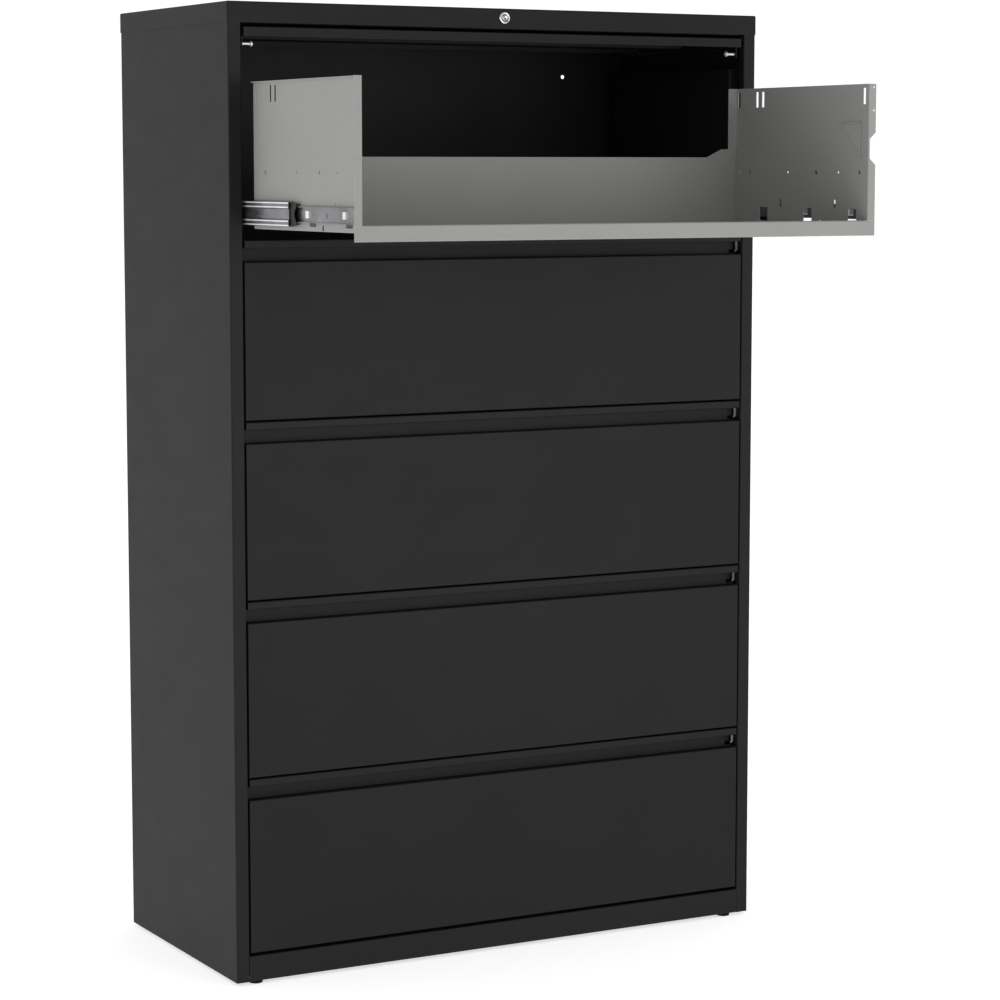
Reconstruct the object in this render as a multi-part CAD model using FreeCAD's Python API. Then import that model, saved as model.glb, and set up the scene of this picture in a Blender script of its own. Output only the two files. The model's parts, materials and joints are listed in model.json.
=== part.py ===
"""Five-high lateral filing cabinet: four drawers, a roll-out shelf and a receding door.

Shapes are drawn in the case's own axes: x across the width from the centre line, y from the
front plane back into the case, z up from the bottom edge of the case. They are moved once, on
export, so that the origin lies on the floor under the middle of the whole object at rest:
drawers closed, door pushed in above the shelf, shelf rolled out.
"""
import FreeCAD
import Part
import math
import os

Vector = FreeCAD.Vector
X_AXIS = Vector(1, 0, 0)
Y_AXIS = Vector(0, 1, 0)
Z_AXIS = Vector(0, 0, 1)

# ---- Driving dimensions, mm ------------------------------------------------------------
CASE_WIDTH = 1066.8
CASE_DEPTH = 489.0
CASE_HEIGHT = 1701.8
CAP_HEIGHT = 35.1
CAP_PROUD = 1.2
SHEET = 1.2
BEND = 2.4
GLIDE_HEIGHT = 6.5
GLIDE_X = 490.0
GLIDE_FRONT_Y = 18.0
GLIDE_BACK_Y = 461.0
GLIDE_NUT_R = 7.5
GLIDE_STEM_R = 4.0
SEAM = 0.1

STILE_INNER_X = 509.0
STILE_RETURN = 14.0
PLINTH_HEIGHT = 45.5
PLINTH_RETURN_Y = 22.0
PAN_FRONT_Y = 3.0
PAN_Z = 8.6
PAN_TURN_UP_Z = 40.0
HEADER_FRONT_Y = 12.6
HEADER_BACK_Y = 26.0
LINER_BOTTOM_Z = 12.0
LINER_TOP_Z = 1604.0
LINER_BACK_Y = 472.0
LINER_SLOT_ROWS = (62.0, 448.0)
LINER_SLOT_COUNT = 31
LINER_SLOT_PITCH = 50.0
ANCHOR_X = 400.0
ANCHOR_HEIGHTS = (1300.0, 1600.0)
ANCHOR_HOLE_R = 4.0
RIB_PLACES = (-260.0, 0.0, 260.0)
RIB_BOTTOM_Z = 60.0
RIB_TOP_Z = 1240.0
SCREW_HEIGHTS = (80.0, 480.0, 880.0, 1280.0, 1620.0)
CROSS_RAIL_RISE = 280.0

DRAWER_COUNT = 4
DRAWER_BOTTOM_Z = 50.6
DRAWER_PITCH = 312.5
FRONT_HALF_WIDTH = 505.5
HOOK_OPENING_X = 491.0
FRONT_HEIGHT = 272.5
PULL_LIP_BOTTOM = 296.0
PULL_LIP_TOP = 309.8
FRONT_DEPTH = 20.0
BODY_HALF_WIDTH = 490.0
BODY_BACK_Y = 455.0
DRAWER_SIDE_TOP = 250.0
DRAWER_BACK_TOP = 150.0
HANG_RAIL_PLACES = (52.0, 380.0)

SHELF_FRONT_Y = -425.0
SHELF_BACK_Y = -5.0
SHELF_BOTTOM_Z = 1303.5
SHELF_TOP_Z = 1566.0
SHELF_LIP_HEIGHT = 26.5
SHELF_FLOOR_RISE = 14.0
SHELF_HALF_WIDTH = 503.5
SHELF_TRAVEL = 463.0
SHELF_SLOTS = (-17.0, -76.0, -95.0, -411.0)
SHELF_HOLES = (-22.0, -55.0, -178.0, -268.0, -335.0, -400.0)
SHELF_KEYHOLES = (-155.0, -325.0)
SHELF_WINDOWS = (-100.0, -241.0, -378.0)
SHELF_HOLES_DROP = 153.0
SHELF_BELL_Y = -280.0
SHELF_BELL_RISE = 20.7
SHELF_BELL_R = 4.0
NOTCH_LOW = 127.5
NOTCH_HIGH = 173.5
GUSSET_FRONT_Y = -402.0
GUSSET_BACK_Y = -346.0
GUSSET_DROP = 67.0
GUSSET_HEIGHT = 58.0
SHELF_BACK_HEIGHT = 136.5
SHOULDER_HEIGHT = 151.5
SHOULDER_X = 456.0
SHOULDER_SLOPE = 32.0

SLIDE_FRONT_Y = 41.0
SLIDE_REAR_Y = 466.0
SLIDE_ABOVE_BOTTOM = 41.0
RAIL_WEB_X = 503.8
RAIL_TIP_X = 491.6
RAIL_HALF_HEIGHT = 25.0
MID_SETBACK = 20.0
MID_TIP_X = 491.8
MID_CREST_X = 501.0
MID_SUNK_X = 499.7
MID_HALF_HEIGHT = 20.5
INNER_TIP_X = 496.4
INNER_HALF_HEIGHT = 13.2
INNER_WINDOWS = (40.0, 180.0)
INNER_SLOT = 120.0
INNER_LENGTH = 410.0
SHELF_INNER_LENGTH = 412.0
CAGE_FRONT_Y = -196.0
CAGE_LENGTH = 90.0
CAGE_OUTER_X = 498.6
CAGE_WEB_X = 497.0
CAGE_TIP_X = 492.6
CAGE_HALF_HEIGHT = 18.6
BALL_ROW = 16.4
LINER_X = 504.0

DOOR_HALF_WIDTH = 503.0
DOOR_THICKNESS = 16.2
DOOR_BOTTOM_STOWED_Z = 1643.5
DOOR_FRONT_STOWED_Y = 0.7
DOOR_REACH = 350.0
DOOR_PAST_PIVOT = 8.0
CARRIAGE_OFFSET = 31.2
HINGE_PIN_R = 3.0
ROLLER_R = 8.0
DOOR_PIN_Z = 1631.0
DOOR_PIN_Y = 20.0
DOOR_PIN_R = 2.25
DOOR_PIN_TIP_X = 479.0
DOOR_PIN_LENGTH = 24.6
STIFFENER_FRONT_Y = 140.0
STIFFENER_BACK_Y = 230.0
STIFFENER_FLANGE = 15.0
STIFFENER_HALF = 470.0
EAR_X = 488.6
ARM_X = 484.0
BAR_HALF = 506.0
ROLLER_X = 510.0
GUIDE_FRONT_Y = 31.0
GUIDE_BACK_Y = 470.0

LOCK_Z = 1685.0
PLUG_R = 6.15
PLUG_CLEARANCE = 0.05
LOCK_RIM_R = 10.8
BARREL_R = 9.0
CAM_REACH = 12.0
LOCK_BAR_X = 517.0
LOCK_BAR_FRONT_Y = 18.0
LOCK_BAR_WIDTH = 6.0
CROSSBAR_Y = 29.4
HOOK_X = 508.4
HOOK_Y = 21.6
HOOK_THICKNESS = 2.0

# ---- Sizes that follow -------------------------------------------------------------------
HALF_WIDTH = CASE_WIDTH / 2
BODY_TOP_Z = CASE_HEIGHT - CAP_HEIGHT
SIDE_INNER_X = HALF_WIDTH - SHEET
PIVOT_Y = DOOR_FRONT_STOWED_Y + DOOR_REACH
PIVOT_Z = DOOR_BOTTOM_STOWED_Z + DOOR_THICKNESS / 2
BAR_Y = PIVOT_Y + CARRIAGE_OFFSET
SHELF_SLIDE_Z = SHELF_BOTTOM_Z + SLIDE_ABOVE_BOTTOM
SHELF_FLOOR_Z = SHELF_BOTTOM_Z + SHELF_FLOOR_RISE
CASE_BACK_Y = CASE_DEPTH + CAP_PROUD
TO_ORIGIN = Vector(0, -(SHELF_FRONT_Y + CASE_BACK_Y) / 2, GLIDE_HEIGHT)


# ---- Building blocks ---------------------------------------------------------------------
def block(x0, x1, y0, y1, z0, z1):
    """Box between two corners."""
    return Part.makeBox(x1 - x0, y1 - y0, z1 - z0, Vector(x0, y0, z0))


def rod(start, direction, length, radius):
    """Round bar from a start point."""
    return Part.makeCylinder(radius, length, start, direction)


def place(u, v, plane, w):
    """Point with in-plane coordinates u, v at distance w along the plane's normal."""
    if plane == "xy":
        return Vector(u, v, w)
    if plane == "yz":
        return Vector(w, u, v)
    return Vector(u, w, v)


def prism(outline, plane, start, end):
    """Solid with a straight-sided outline, from start to end along the plane's normal."""
    points = [place(u, v, plane, start) for u, v in outline]
    face = Part.Face(Part.makePolygon(points + points[:1]))
    return face.extrude(place(0, 0, plane, end - start))


def folded_sheet(path, plane, start, end, bend=BEND, thickness=SHEET):
    """Sheet of even thickness folded along a path given at mid thickness, with round bends."""
    half = thickness / 2
    mid_radius = bend - half
    points = [Vector(u, v, 0) for u, v in path]
    runs = [(b - a).normalize() for a, b in zip(points, points[1:])]
    normals = [Vector(-run.y, run.x, 0) for run in runs]
    chains = []
    for side in (half, -half):
        cursor = points[0] + normals[0] * side
        chain = []
        for index in range(1, len(points) - 1):
            before, after = runs[index - 1], runs[index]
            turn = math.atan2(before.cross(after).z, before.dot(after))
            sign = math.copysign(1.0, turn)
            trim = mid_radius * math.tan(abs(turn) / 2)
            arc_from = points[index] - before * trim
            centre = arc_from + normals[index - 1] * (sign * mid_radius)
            middle = (points[index] - centre).normalize()
            radius = mid_radius - sign * side
            first = arc_from + normals[index - 1] * side
            last = points[index] + after * trim + normals[index] * side
            chain.append((cursor, None, first))
            chain.append((first, centre + middle * radius, last))
            cursor = last
        chain.append((cursor, None, points[-1] + normals[-1] * side))
        chains.append(chain)
    left, right = chains
    loop = left + [(left[-1][2], None, right[-1][2])]
    loop += [(c, b, a) for a, b, c in reversed(right)]
    loop.append((right[0][0], None, left[0][0]))
    edges = []
    for a, b, c in loop:
        ends = [place(p.x, p.y, plane, start) for p in (a, c)]
        if b is None:
            edges.append(Part.LineSegment(*ends).toShape())
        else:
            edges.append(Part.Arc(ends[0], place(b.x, b.y, plane, start), ends[1]).toShape())
    face = Part.Face(Part.Wire(edges))
    return face.extrude(place(0, 0, plane, end - start))


def mirrored(shape):
    """The same piece on the other side of the centre line."""
    return shape.mirror(Vector(0, 0, 0), X_AXIS)


def both_sides(shape):
    """Right-hand and left-hand copies of a piece."""
    return [shape, mirrored(shape)]


def save(node, solids):
    """Write one node, moved to the object's origin."""
    pieces = []
    for solid in solids if isinstance(solids, list) else [solids]:
        moved = solid.copy()
        moved.translate(TO_ORIGIN)
        pieces.extend(moved.Solids)
    shape = pieces[0] if len(pieces) == 1 else Part.makeCompound(pieces)
    shape.exportStep(os.path.join("parts", node + ".step"))


# ---- Case ----------------------------------------------------------------------------------
def side_panel():
    """Right outer side: stile with its return, side, and rear flange, folded from one sheet."""
    mid = SHEET / 2
    path = [
        (STILE_INNER_X + mid, STILE_RETURN),
        (STILE_INNER_X + mid, mid),
        (HALF_WIDTH - mid, mid),
        (HALF_WIDTH - mid, CASE_DEPTH - mid),
        (HALF_WIDTH - 24, CASE_DEPTH - mid),
    ]
    return folded_sheet(path, "xy", 0, BODY_TOP_Z)


def back_panel():
    """Flat back that reaches up into the cap, with four wall-anchor holes and pressed ribs."""
    y1 = CASE_DEPTH - SHEET
    half = SIDE_INNER_X - 2.5
    panel = block(-half, half, y1 - SHEET, y1, 1, CASE_HEIGHT - SHEET - 4)
    holes = [rod(Vector(x, y1 - 5, z), Y_AXIS, 10, ANCHOR_HOLE_R)
             for x in (-ANCHOR_X, ANCHOR_X) for z in ANCHOR_HEIGHTS]
    ribs = [block(x - 5, x + 5, y1 - SHEET - 3, y1 - SHEET, RIB_BOTTOM_Z, RIB_TOP_Z)
            for x in RIB_PLACES]
    grooves = [block(x - 3.8, x + 3.8, y1 - 3, y1 + 1, RIB_BOTTOM_Z + SHEET, RIB_TOP_Z - SHEET)
               for x in RIB_PLACES]
    return panel.fuse(ribs).cut(Part.makeCompound(holes + grooves))


def top_cap():
    """Cap with a skirt all round and rounded edges; the front skirt has the lock's hole."""
    outer_x = HALF_WIDTH + CAP_PROUD
    cap = block(-outer_x, outer_x, -CAP_PROUD, CASE_BACK_Y, BODY_TOP_Z, CASE_HEIGHT)
    rounded = []
    for edge in cap.Edges:
        box = edge.BoundBox
        if box.ZMin > BODY_TOP_Z + 1 or box.ZLength > 1:
            rounded.append(edge)
    cap = cap.makeFillet(3.0, rounded)
    hollow = block(-HALF_WIDTH, HALF_WIDTH, 0, CASE_DEPTH, BODY_TOP_Z - 1, CASE_HEIGHT - SHEET)
    upright = [edge for edge in hollow.Edges if edge.BoundBox.ZLength > 1]
    hollow = hollow.makeFillet(1.8, upright)
    lock_hole = rod(Vector(0, -5, LOCK_Z), Y_AXIS, 20, BARREL_R + SEAM)
    return cap.cut(hollow).cut(lock_hole)


def header_channel():
    """Channel across the front under the cap, which carries the lock."""
    low = BODY_TOP_Z - 1
    high = CASE_HEIGHT - 3.8
    path = [(HEADER_BACK_Y, low), (HEADER_FRONT_Y, low), (HEADER_FRONT_Y, high), (HEADER_BACK_Y, high)]
    half = STILE_INNER_X - 1
    channel = folded_sheet(path, "yz", -half, half)
    return channel.cut(rod(Vector(0, 5, LOCK_Z), Y_AXIS, 20, BARREL_R + SEAM))


def base_plinth():
    """Kick plate between the stiles, folded back along top and bottom and notched for glides."""
    mid = SHEET / 2
    top = PLINTH_HEIGHT - mid
    path = [(PLINTH_RETURN_Y, mid), (mid, mid), (mid, top), (PLINTH_RETURN_Y, top)]
    half = STILE_INNER_X - SEAM
    plinth = folded_sheet(path, "yz", -half, half)
    notches = [rod(Vector(x, GLIDE_FRONT_Y, -1), Z_AXIS, 4, GLIDE_NUT_R + 1.5)
               for x in (-GLIDE_X, GLIDE_X)]
    return plinth.cut(Part.makeCompound(notches))


def base_pan():
    """Floor of the case, turned up along its front and back, with a hole for each glide."""
    back = CASE_DEPTH - 5
    path = [(PAN_FRONT_Y, PAN_TURN_UP_Z), (PAN_FRONT_Y, PAN_Z), (back, PAN_Z), (back, PAN_TURN_UP_Z)]
    pan = folded_sheet(path, "yz", -SIDE_INNER_X + 1, SIDE_INNER_X - 1)
    holes = [rod(Vector(x, y, 0), Z_AXIS, 20, GLIDE_STEM_R + 0.2) for x, y in glide_places()]
    corner = block(STILE_INNER_X - 1, HALF_WIDTH, 0, STILE_RETURN + 1, 0, PAN_TURN_UP_Z + 1)
    return pan.cut(Part.makeCompound(holes + both_sides(corner)))


def glide_places():
    """The four corners where a glide stands."""
    return [(x, y) for x in (-GLIDE_X, GLIDE_X) for y in (GLIDE_FRONT_Y, GLIDE_BACK_Y)]


def levelling_glides():
    """Round foot, cone and threaded stem with a lock nut under the pan, turned as one piece."""
    profile = [(0, -GLIDE_HEIGHT), (12.5, -GLIDE_HEIGHT), (12.5, -GLIDE_HEIGHT + 3.5), (9, -1.5),
               (GLIDE_NUT_R, 1), (GLIDE_NUT_R, 7.9), (GLIDE_STEM_R, 7.9), (GLIDE_STEM_R, 24), (0, 24)]
    points = [Vector(r, 0, z) for r, z in profile]
    turned = Part.Face(Part.makePolygon(points + points[:1])).revolve(Vector(), Z_AXIS, 360)
    glides = []
    for x, y in glide_places():
        glide = turned.copy()
        glide.translate(Vector(x, y, 0))
        glides.append(glide)
    return glides


def inner_liner():
    """Right inner panel that carries the slides: flanges front and back, two rows of slots."""
    x = LINER_X + SHEET / 2
    outer = SIDE_INNER_X - 0.2
    front = SLIDE_FRONT_Y + 1
    path = [(outer, front), (x, front), (x, LINER_BACK_Y), (outer, LINER_BACK_Y)]
    liner = folded_sheet(path, "xy", LINER_BOTTOM_Z, LINER_TOP_Z)
    slots = []
    for y in LINER_SLOT_ROWS:
        for row in range(LINER_SLOT_COUNT):
            z = LINER_BOTTOM_Z + 58 + row * LINER_SLOT_PITCH
            slots.append(block(x - 3, x + 3, y - 2.5, y + 2.5, z - 8, z + 8))
    return liner.cut(Part.makeCompound(slots))


def cross_rails():
    """Angle rails between the liners, one behind the pull of each drawer."""
    rails = []
    for level in range(DRAWER_COUNT):
        z = drawer_base(level) + CROSS_RAIL_RISE
        path = [(40, z), (24, z), (24, z + 22)]
        rails.append(folded_sheet(path, "yz", -LINER_X + 0.1, LINER_X - 0.1))
    return rails


def case_screws():
    """Pan-head screws that hold the back panel to the side flanges."""
    screws = []
    for z in SCREW_HEIGHTS:
        head = rod(Vector(HALF_WIDTH - 14, CASE_DEPTH, z), Y_AXIS, CAP_PROUD - 0.2, 4.5)
        screws.extend(both_sides(head))
    return screws


# ---- Slides --------------------------------------------------------------------------------
def channel(web_x, tip_x, half_height, y0, y1, z, bend=1.8):
    """Lengthwise slide member: a web and two flanges, on the right-hand side."""
    step = math.copysign(SHEET / 2, tip_x - web_x)
    reach = half_height - SHEET / 2
    path = [(tip_x, z - reach), (web_x + step, z - reach), (web_x + step, z + reach), (tip_x, z + reach)]
    return folded_sheet(path, "xz", y0, y1, bend)


def fixed_rail(z):
    """Outer slide member, fixed to the liner."""
    return channel(RAIL_WEB_X, RAIL_TIP_X, RAIL_HALF_HEIGHT, SLIDE_FRONT_Y, SLIDE_REAR_Y, z)


def mid_member(z, shift):
    """Middle slide member, shifted from its closed place; its web is sunk between the raceways."""
    front = SLIDE_FRONT_Y + MID_SETBACK + shift
    edge = MID_HALF_HEIGHT - SHEET / 2
    path = [(MID_TIP_X, z - edge), (MID_CREST_X, z - edge), (MID_CREST_X, z - 10), (MID_SUNK_X, z - 8.5),
            (MID_SUNK_X, z + 8.5), (MID_CREST_X, z + 10), (MID_CREST_X, z + edge), (MID_TIP_X, z + edge)]
    return folded_sheet(path, "xz", front, SLIDE_REAR_Y - 1 + shift, 1.4)


def inner_member(z, front, length):
    """Inner slide member on the side panel, with its two square windows and the oval hole."""
    body = channel(BODY_HALF_WIDTH, INNER_TIP_X, INNER_HALF_HEIGHT, front, front + length, z)
    x0, x1 = BODY_HALF_WIDTH - 5, INNER_TIP_X + 3
    cuts = [block(x0, x1, front + y, front + y + 24, z - 6.5, z + 6.5) for y in INNER_WINDOWS]
    cuts.append(block(x0, x1, front + INNER_SLOT, front + INNER_SLOT + 4, z - 5, z + 3))
    return body.cut(Part.makeCompound(cuts))


def ball_retainer(z, front):
    """Moulded cage between the middle and inner members: a web and two ball strips."""
    back = front + CAGE_LENGTH
    web = block(CAGE_WEB_X, CAGE_OUTER_X, front, back, z - CAGE_HALF_HEIGHT, z + CAGE_HALF_HEIGHT)
    strips = []
    for row in (z - BALL_ROW, z + BALL_ROW):
        strips.append(block(CAGE_TIP_X, CAGE_WEB_X, front, back, row - 2.2, row + 2.2))
    return web.fuse(strips)


# ---- Drawers -------------------------------------------------------------------------------
def drawer_base(level):
    """Height of a drawer front's bottom edge; level 0 is the lowest drawer."""
    return DRAWER_BOTTOM_Z + level * DRAWER_PITCH


def drawer_front(base):
    """Front, full-width finger recess and lip folded from one sheet, open for the lock's hook."""
    mid = SHEET / 2
    ledge = base + FRONT_HEIGHT - mid
    under_lip = base + PULL_LIP_BOTTOM + mid
    lip_top = base + PULL_LIP_TOP - mid
    path = [(FRONT_DEPTH, base + mid), (mid, base + mid), (mid, ledge), (FRONT_DEPTH, ledge),
            (FRONT_DEPTH, under_lip), (mid, under_lip), (mid, lip_top), (FRONT_DEPTH, lip_top)]
    skin = folded_sheet(path, "yz", -FRONT_HALF_WIDTH, FRONT_HALF_WIDTH)
    end = block(FRONT_HALF_WIDTH - SHEET, FRONT_HALF_WIDTH, mid, FRONT_DEPTH,
                base + mid, base + FRONT_HEIGHT - mid)
    opening = block(HOOK_OPENING_X, FRONT_HALF_WIDTH + 1, FRONT_DEPTH - 1, FRONT_DEPTH + 1,
                    ledge + BEND, under_lip - BEND)
    return skin.fuse(both_sides(end)).cut(opening).removeSplitter()


def drawer_sides(base):
    """Side panels with an inward hem along the top."""
    x = BODY_HALF_WIDTH - SHEET / 2
    path = [(x, base + 14), (x, base + DRAWER_SIDE_TOP), (x - 9, base + DRAWER_SIDE_TOP)]
    side = folded_sheet(path, "xz", FRONT_DEPTH + 0.6, BODY_BACK_Y)
    return both_sides(side)


def drawer_bottom(base):
    """Bottom sheet with an upturned front edge behind the front."""
    half = BODY_HALF_WIDTH - SHEET - 0.1
    path = [(FRONT_DEPTH + 1.4, base + 50), (FRONT_DEPTH + 1.4, base + 15), (BODY_BACK_Y, base + 15)]
    return folded_sheet(path, "yz", -half, half)


def drawer_back(base):
    """Low back panel on the bottom sheet, hemmed along its top."""
    half = BODY_HALF_WIDTH - SHEET - 0.1
    y = BODY_BACK_Y - 1
    top = base + DRAWER_BACK_TOP
    path = [(y, base + 15.7), (y, top), (y - 11, top)]
    return folded_sheet(path, "yz", -half, half)


def hang_rails(base):
    """Two side-to-side bars for hanging files."""
    half = BODY_HALF_WIDTH - SHEET - 0.1
    top = base + DRAWER_SIDE_TOP - 2
    return [block(-half, half, y, y + 2, top - 14, top) for y in HANG_RAIL_PLACES]


def make_drawer(number, level):
    """All pieces of one drawer; number 1 is the top drawer."""
    base = drawer_base(level)
    slide_z = base + SLIDE_ABOVE_BOTTOM
    name = "drawer_%d_" % number
    save(name + "front", drawer_front(base))
    save(name + "sides", drawer_sides(base))
    save(name + "bottom", drawer_bottom(base))
    save(name + "back", drawer_back(base))
    save(name + "hang_rails", hang_rails(base))
    save(name + "slide_inners", both_sides(inner_member(slide_z, SLIDE_FRONT_Y + 2, INNER_LENGTH)))
    save(name + "slide_mids", both_sides(mid_member(slide_z, 0)))


# ---- Roll-out shelf --------------------------------------------------------------------------
def shelf_tray():
    """Shelf floor and its channel-shaped front lip; past the side panels the lip is a flat wing."""
    mid = SHEET / 2
    face = SHELF_FRONT_Y + mid
    low = SHELF_BOTTOM_Z + mid
    high = SHELF_BOTTOM_Z + SHELF_LIP_HEIGHT - mid
    path = [(face + 12, high), (face, high), (face, low), (face + 12, low)]
    lip = folded_sheet(path, "yz", -BODY_HALF_WIDTH, BODY_HALF_WIDTH)
    wing = block(BODY_HALF_WIDTH - 1, SHELF_HALF_WIDTH, SHELF_FRONT_Y, SHELF_FRONT_Y + SHEET,
                 SHELF_BOTTOM_Z, SHELF_BOTTOM_Z + SHELF_LIP_HEIGHT)
    floor = block(-BODY_HALF_WIDTH, BODY_HALF_WIDTH, face, SHELF_BACK_Y - 3,
                  SHELF_FLOOR_Z, SHELF_FLOOR_Z + SHEET)
    return lip.fuse([floor] + both_sides(wing)).removeSplitter()


def shelf_side():
    """Right side panel: top edge and front flange turned out, rear edge turned in, pierced."""
    outer = BODY_HALF_WIDTH
    inner = outer - SHEET
    bottom = SHELF_FLOOR_Z + SHEET + SEAM
    front = SHELF_FRONT_Y
    back = SHELF_BACK_Y
    mid = SHEET / 2
    path = [(SHELF_HALF_WIDTH, front + mid), (outer - mid, front + mid), (outer - mid, back - mid),
            (outer - 18, back - mid)]
    panel = folded_sheet(path, "xy", bottom, SHELF_TOP_Z)
    top_edge = block(inner, outer + 5, front + 2, back - 1, SHELF_TOP_Z - SHEET, SHELF_TOP_Z)
    panel = panel.fuse(top_edge)
    lip_top = SHELF_BOTTOM_Z + SHELF_LIP_HEIGHT + SEAM
    cuts = [block(inner - 1, SHELF_HALF_WIDTH + 1, front - 1, front + 13, bottom - 1, lip_top)]
    notch_low = SHELF_BOTTOM_Z + NOTCH_LOW
    notch_high = SHELF_BOTTOM_Z + NOTCH_HIGH
    notch_x = outer + 1.5
    notch = [(SHELF_HALF_WIDTH + 1, notch_low - 6), (notch_x, notch_low + 6),
             (notch_x, notch_high - 6), (SHELF_HALF_WIDTH + 1, notch_high + 6)]
    cuts.append(prism(notch, "xz", front - 1, front + 3))
    for y in SHELF_SLOTS:
        cuts.append(pierced(y, SHELF_TOP_Z - 35, 7.5, 28))
    for y in SHELF_HOLES:
        cuts.append(rod(Vector(inner - 1, y, SHELF_TOP_Z - SHELF_HOLES_DROP), X_AXIS, 4, 2.2))
    for y in SHELF_KEYHOLES:
        cuts.append(rod(Vector(inner - 1, y, SHELF_BOTTOM_Z + 50), X_AXIS, 4, 3.8))
        cuts.append(pierced(y, SHELF_BOTTOM_Z + 50, 4.4, 11))
    for y in SHELF_WINDOWS:
        cuts.append(pierced(y, SHELF_BOTTOM_Z + 21, 26, 25))
    bell_z = SHELF_BOTTOM_Z + SHELF_BELL_RISE
    cuts.append(rod(Vector(inner - 1, SHELF_BELL_Y, bell_z), X_AXIS, 4, SHELF_BELL_R))
    cuts.append(pierced(SHELF_BELL_Y, bottom - 1, 2 * SHELF_BELL_R, bell_z - bottom + 1))
    for z in (SHELF_TOP_Z - 6, SHELF_TOP_Z - 46):
        cuts.append(rod(Vector(outer + 9.5, front - 1, z), Y_AXIS, 4, 1.8))
    return panel.cut(Part.makeCompound(cuts))


def pierced(y, z, width, height):
    """Cutting block for an upright slot in the right shelf side, by its middle and bottom."""
    return block(BODY_HALF_WIDTH - 3, BODY_HALF_WIDTH + 2, y - width / 2, y + width / 2, z, z + height)


def shelf_gusset():
    """Raised triangular pressing that stiffens the front of a shelf side."""
    inner = BODY_HALF_WIDTH - SHEET
    top = SHELF_TOP_Z - GUSSET_DROP
    outline = [(GUSSET_BACK_Y, top), (GUSSET_FRONT_Y, top), (GUSSET_FRONT_Y, top - GUSSET_HEIGHT)]
    return prism(outline, "yz", inner - 1.6, inner + 0.2)


def shelf_back():
    """Low back panel between the sides, its top corners raised to meet them."""
    low = SHELF_FLOOR_Z + SHEET + SEAM
    half = BODY_HALF_WIDTH - SHEET - 1.6
    shoulder = SHELF_BOTTOM_Z + SHOULDER_HEIGHT
    top = SHELF_BOTTOM_Z + SHELF_BACK_HEIGHT
    foot_x = SHOULDER_X - SHOULDER_SLOPE
    outline = [(-half, low), (half, low), (half, shoulder), (SHOULDER_X, shoulder), (foot_x, top),
               (-foot_x, top), (-SHOULDER_X, shoulder), (-half, shoulder)]
    y = SHELF_BACK_Y - SHEET - 0.1
    return prism(outline, "xz", y - SHEET, y)


def make_shelf():
    """The roll-out shelf at rest, pulled right out."""
    side = shelf_side().fuse(shelf_gusset())
    save("shelf_tray", shelf_tray())
    save("shelf_side_right", side)
    save("shelf_side_left", mirrored(side))
    save("shelf_back", shelf_back())
    inner = inner_member(SHELF_SLIDE_Z, SLIDE_FRONT_Y + 2 - SHELF_TRAVEL, SHELF_INNER_LENGTH)
    save("shelf_slide_inners", both_sides(inner))
    save("shelf_slide_mids", both_sides(mid_member(SHELF_SLIDE_Z, -SHELF_TRAVEL / 2)))
    save("shelf_ball_retainers", both_sides(ball_retainer(SHELF_SLIDE_Z, CAGE_FRONT_Y)))


# ---- Receding door ---------------------------------------------------------------------------
def door_panel():
    """Door pan, stowed flat with its outer face up, open underneath."""
    z1 = DOOR_BOTTOM_STOWED_Z + DOOR_THICKNESS
    y0 = DOOR_FRONT_STOWED_Y
    y1 = PIVOT_Y + DOOR_PAST_PIVOT
    half = DOOR_HALF_WIDTH
    pan = block(-half, half, y0, y1, DOOR_BOTTOM_STOWED_Z, z1)
    crease = [edge for edge in pan.Edges if edge.BoundBox.ZMin > z1 - 1]
    pan = pan.makeFillet(2.0, crease)
    hollow = block(-half + SHEET, half - SHEET, y0 + SHEET, y1 - SHEET,
                   DOOR_BOTTOM_STOWED_Z - 1, z1 - SHEET)
    arm_slot = block(ARM_X - 1.6, ARM_X + 4, y1 - 5, y1 + 5, DOOR_BOTTOM_STOWED_Z - 1, PIVOT_Z + 4.2)
    return pan.cut(hollow).cut(Part.makeCompound(both_sides(arm_slot)))


def door_stiffener():
    """Hat channel across the inside of the door."""
    z1 = DOOR_BOTTOM_STOWED_Z + DOOR_THICKNESS - SHEET - 0.6
    z0 = DOOR_BOTTOM_STOWED_Z + 1.5
    front = STIFFENER_FRONT_Y + STIFFENER_FLANGE
    back = STIFFENER_BACK_Y - STIFFENER_FLANGE
    path = [(STIFFENER_FRONT_Y, z1), (front, z1), (front, z0), (back, z0), (back, z1),
            (STIFFENER_BACK_Y, z1)]
    return folded_sheet(path, "yz", -STIFFENER_HALF, STIFFENER_HALF)


def door_brackets():
    """Hinge ears at the back of the door and the hangers of its two front pins."""
    z1 = DOOR_BOTTOM_STOWED_Z + DOOR_THICKNESS - SHEET
    z0 = DOOR_BOTTOM_STOWED_Z + 1
    ear = block(EAR_X, EAR_X + 2, PIVOT_Y - 12, PIVOT_Y + 6, z0, z1)
    ear = ear.cut(rod(Vector(EAR_X - 8, PIVOT_Y, PIVOT_Z), X_AXIS, 20, HINGE_PIN_R + 0.05))
    outer = DOOR_HALF_WIDTH - SHEET
    hanger = block(outer - 1.8, outer, DOOR_PIN_Y - 6, DOOR_PIN_Y + 6, DOOR_PIN_Z - 6, z1)
    hanger = hanger.cut(rod(Vector(outer - 6, DOOR_PIN_Y, DOOR_PIN_Z), X_AXIS, 10, DOOR_PIN_R))
    return both_sides(ear) + both_sides(hanger)


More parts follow.
